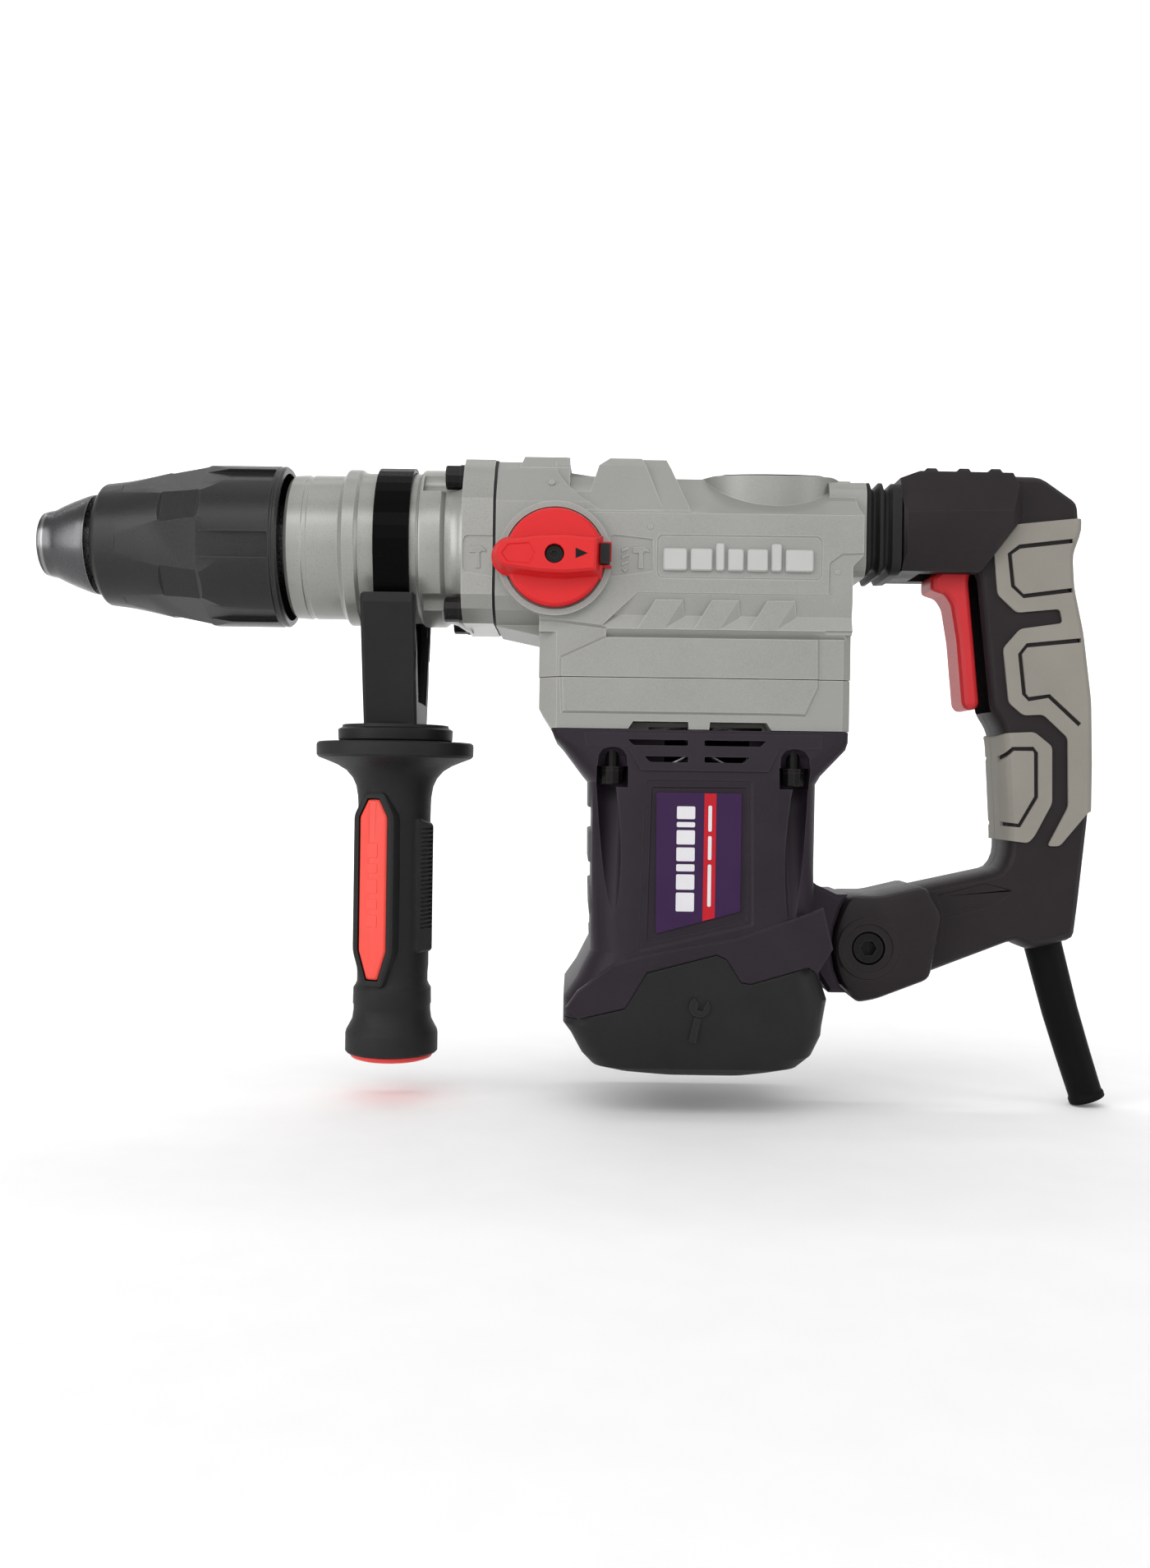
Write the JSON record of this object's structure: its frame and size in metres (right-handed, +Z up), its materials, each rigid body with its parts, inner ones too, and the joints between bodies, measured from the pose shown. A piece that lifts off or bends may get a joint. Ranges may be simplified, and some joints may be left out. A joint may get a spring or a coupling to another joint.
{
  "type": "rotary hammer",
  "caption": "Corded rotary hammer: long chuck and cast gear housing over an upright motor, D handle with trigger on a sprung pivot, and a clamped side handle.",
  "frame": {"origin": "where the motor axis meets the flat base of the motor end", "axes": "+Z up the motor axis, +X along the spindle from the chuck towards the hand grip, +Y to the tool's right"},
  "size_m": [0.453, 0.105, 0.2678],
  "materials": {
    "cast_alloy": "die cast, satin",
    "bright_steel": "machined",
    "black_steel": "blackened",
    "black_plastic": "fine spark-eroded texture",
    "red_plastic": "satin",
    "grey_grip_rubber": "soft grip",
    "black_rubber": "matte",
    "carbon_block": "pressed carbon",
    "dark_label": "printed foil"
  },
  "bodies": {
    "frame": {"gear_housing": "cast_alloy", "gear_base": "cast_alloy", "front_barrel": "cast_alloy", "front_gasket": "black_rubber", "flange_bolt_1": "black_steel", "flange_bolt_2": "black_steel", "flange_bolt_3": "black_steel", "flange_bolt_4": "black_steel", "crank_cap": "black_plastic", "motor_housing": "black_plastic", "service_cover": "black_plastic", "rating_label": "dark_label", "housing_screw_1": "black_steel", "housing_screw_2": "black_steel", "housing_screw_3": "black_steel", "housing_screw_4": "black_steel", "stator": "black_steel", "brush_front": "carbon_block", "brush_rear": "carbon_block", "motor_bearing_top": "bright_steel", "motor_bearing_bottom": "bright_steel", "crank_bearing": "bright_steel", "countershaft_bearing": "bright_steel", "spindle_bearing": "bright_steel", "bellows": "black_rubber", "damper_spring": "bright_steel"},
    "spindle": {"nose_cap": "bright_steel", "tool_holder": "bright_steel", "hammer_tube": "bright_steel", "bevel_gear": "bright_steel", "chuck_spring": "bright_steel"},
    "sleeve": {"chuck_sleeve": "black_plastic", "lock_ring": "black_steel"},
    "lock_front": {"lock_segment_front": "bright_steel"},
    "lock_back": {"lock_segment_back": "bright_steel"},
    "mode_shift": {"mode_ring": "black_steel"},
    "beat_piece": {"impact_bolt": "bright_steel"},
    "ram": {"striker": "bright_steel"},
    "drive_piston": {"piston": "cast_alloy"},
    "rod": {"connecting_rod": "cast_alloy"},
    "crank": {"crankshaft": "bright_steel"},
    "countershaft": {"bevel_countershaft": "bright_steel"},
    "rotor": {"armature": "bright_steel"},
    "selector": {"selector_knob": "red_plastic", "selector_shaft": "bright_steel"},
    "knob_button": {"lock_button": "black_plastic"},
    "side_handle": {"clamp_band": "black_steel", "fork_bracket": "black_plastic", "grip_bolt": "bright_steel"},
    "side_grip_turning": {"side_grip": "black_rubber", "grip_insert": "red_plastic", "grip_end_cap": "red_plastic"},
    "rear_handle": {"handle_left": "black_plastic", "handle_right": "black_plastic", "grip_pad_left": "grey_grip_rubber", "grip_pad_right": "grey_grip_rubber", "switch_body": "black_plastic", "cord_guard": "black_rubber", "pivot_screw": "black_steel"},
    "trigger_lever": {"trigger": "red_plastic"}
  },
  "joints": [
    {"name": "armature_spin", "type": "hinge", "parent": "frame", "child": "rotor", "pos_m": [0, 0, 0.08], "axis": [0, 0, 1], "continuous": true},
    {"name": "countershaft_spin", "type": "hinge", "parent": "frame", "child": "countershaft", "pos_m": [-0.0325, 0, 0.16], "axis": [0, 0, 1], "continuous": true},
    {"name": "crank_spin", "type": "hinge", "parent": "frame", "child": "crank", "pos_m": [0.0275, 0, 0.16], "axis": [0, 0, 1], "continuous": true},
    {"name": "spindle_spin", "type": "hinge", "parent": "frame", "child": "spindle", "pos_m": [-0.15, 0, 0.2125], "axis": [1, 0, 0], "continuous": true},
    {"name": "piston_stroke", "type": "slide", "parent": "frame", "child": "drive_piston", "axis": [1, 0, 0], "range_m": [-0.028, 0]},
    {"name": "rod_swing", "type": "hinge", "parent": "drive_piston", "child": "rod", "pos_m": [-0.0085, 0, 0.2125], "axis": [0, 0, 1], "range_deg": [-16.3, 16.3]},
    {"name": "striker_travel", "type": "slide", "parent": "spindle", "child": "ram", "axis": [1, 0, 0], "range_m": [-0.0015, 0.022]},
    {"name": "impact_bolt_travel", "type": "slide", "parent": "spindle", "child": "beat_piece", "axis": [1, 0, 0], "range_m": [-0.005, 0.003]},
    {"name": "sleeve_slide", "type": "slide", "parent": "spindle", "child": "sleeve", "axis": [1, 0, 0], "range_m": [0, 0.012], "stiffness_N_per_m": 1500, "springref_m": -0.004, "deforming": ["chuck_spring"]},
    {"name": "lock_front_release", "type": "slide", "parent": "spindle", "child": "lock_front", "axis": [0, -1, 0], "range_m": [0, 0.0025]},
    {"name": "lock_back_release", "type": "slide", "parent": "spindle", "child": "lock_back", "axis": [0, 1, 0], "range_m": [0, 0.0025]},
    {"name": "selector_turn", "type": "hinge", "parent": "frame", "child": "selector", "pos_m": [-0.0617, -0.045, 0.2025], "axis": [0, 1, 0], "range_deg": [0, 180]},
    {"name": "mode_ring_shift", "type": "slide", "parent": "spindle", "child": "mode_shift", "axis": [1, 0, 0], "range_m": [0, 0.00802]},
    {"name": "lock_button_press", "type": "slide", "parent": "selector", "child": "knob_button", "axis": [0, 1, 0], "range_m": [0, 0.002], "stiffness_N_per_m": 600, "springref_m": -0.002},
    {"name": "side_handle_swivel", "type": "hinge", "parent": "frame", "child": "side_handle", "pos_m": [-0.1291, 0, 0.2125], "axis": [1, 0, 0], "range_deg": [-180, 180]},
    {"name": "side_grip_turn", "type": "hinge", "parent": "side_handle", "child": "side_grip_turning", "pos_m": [-0.1291, 0, 0.08], "axis": [0, 0, 1], "range_deg": [-180, 180]},
    {"name": "handle_damping", "type": "hinge", "parent": "frame", "child": "rear_handle", "pos_m": [0.0685, 0, 0.048], "axis": [0, -1, 0], "range_deg": [0, 1.6], "stiffness_Nm_per_rad": 180, "springref_deg": -1.72, "deforming": ["bellows", "damper_spring"]},
    {"name": "trigger_pull", "type": "hinge", "parent": "rear_handle", "child": "trigger_lever", "pos_m": [0.106, 0, 0.208], "axis": [0, -1, 0], "range_deg": [0, 7.5], "stiffness_Nm_per_rad": 3, "springref_deg": -6.88}
  ],
  "couplings": [
    {"joint": "countershaft_spin", "follows": "armature_spin", "ratio": -0.18182},
    {"joint": "crank_spin", "follows": "armature_spin", "ratio": -0.22222},
    {"joint": "spindle_spin", "follows": "armature_spin", "ratio": 0.090909},
    {"joint": "mode_ring_shift", "follows": "selector_turn", "m_per_rad": 0.0025465},
    {"joint": "lock_front_release", "follows": "sleeve_slide", "ratio": 0.2},
    {"joint": "lock_back_release", "follows": "sleeve_slide", "ratio": 0.2}
  ]
}
